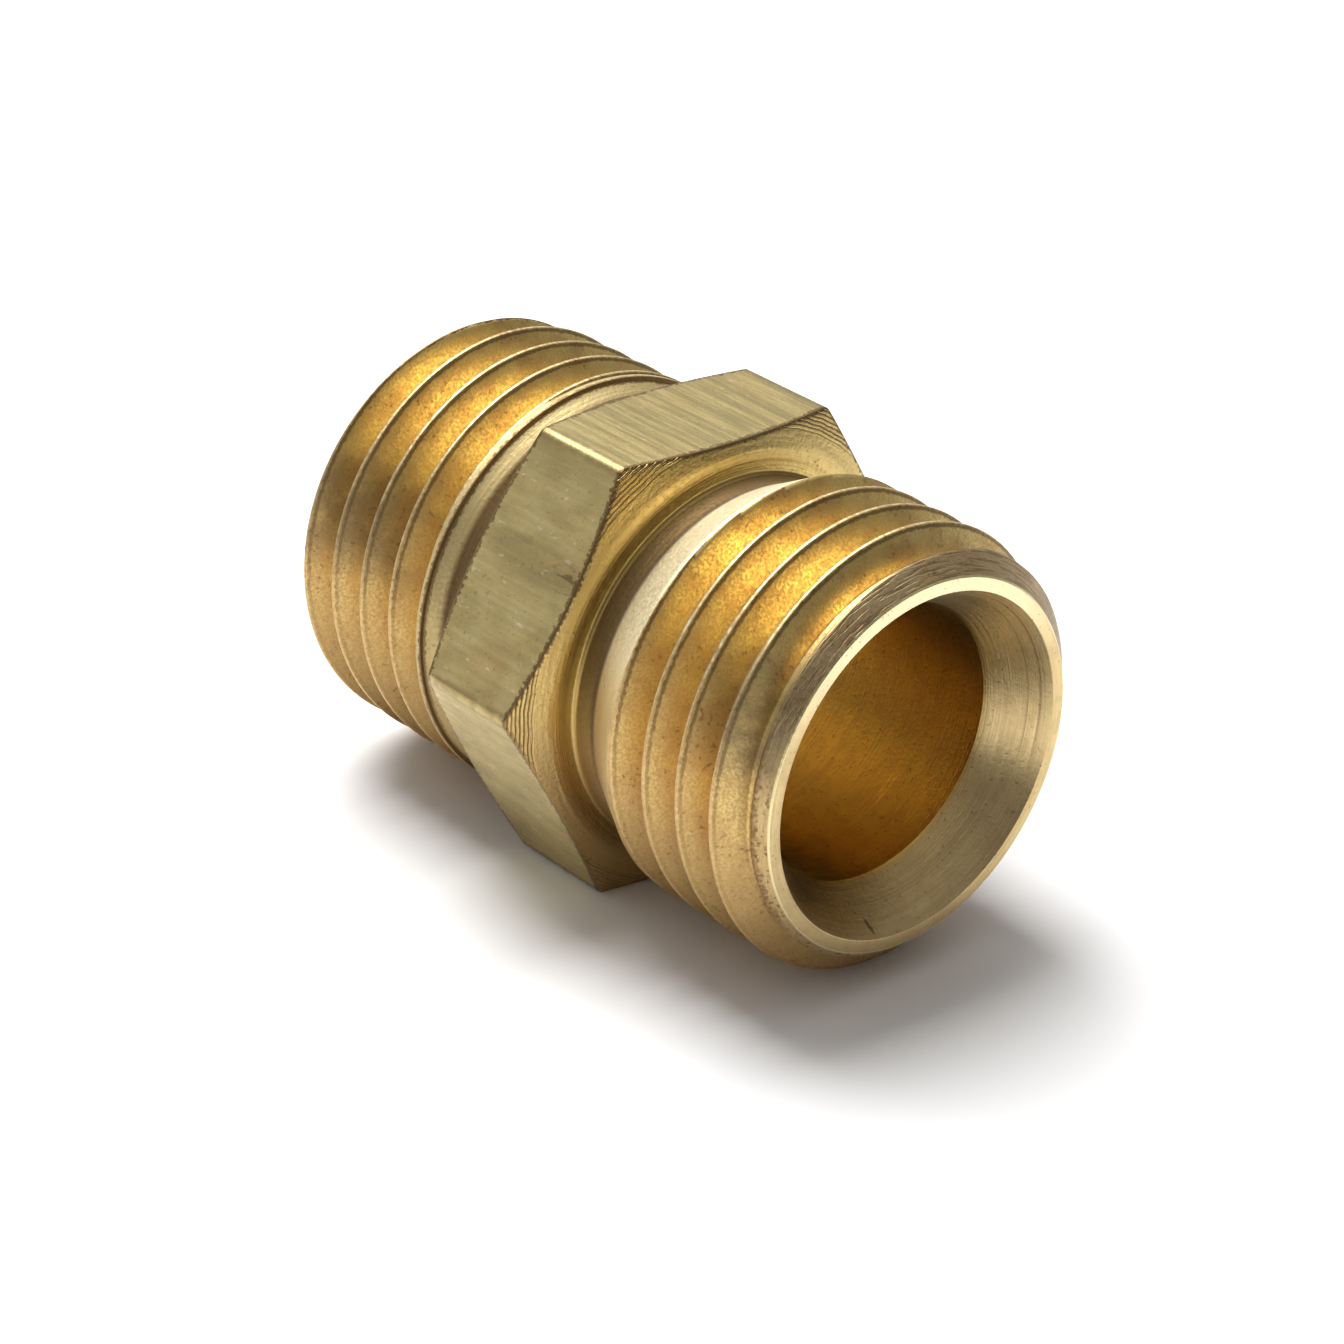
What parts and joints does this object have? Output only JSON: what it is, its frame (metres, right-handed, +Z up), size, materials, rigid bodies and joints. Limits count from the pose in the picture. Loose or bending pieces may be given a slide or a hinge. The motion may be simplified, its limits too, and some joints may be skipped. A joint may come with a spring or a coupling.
{
  "type": "union fitting",
  "caption": "Brass hexagon union nipple with a male straight pipe thread and a cone seat at each end, and a through bore.",
  "frame": {"origin": "on the bore axis, halfway between the two end faces", "axes": "+X along the bore, towards the end that faces the picture's viewer; +Z up, square to the flat of the hexagon that faces up; the fitting lies on the opposite flat"},
  "size_m": [0.0212, 0.016, 0.0138],
  "materials": {
    "brass": "machined, with fine turning marks; the hexagon flats keep the drawn surface of the bar"
  },
  "bodies": {
    "root": {"union_body": "brass"}
  },
  "joints": []
}
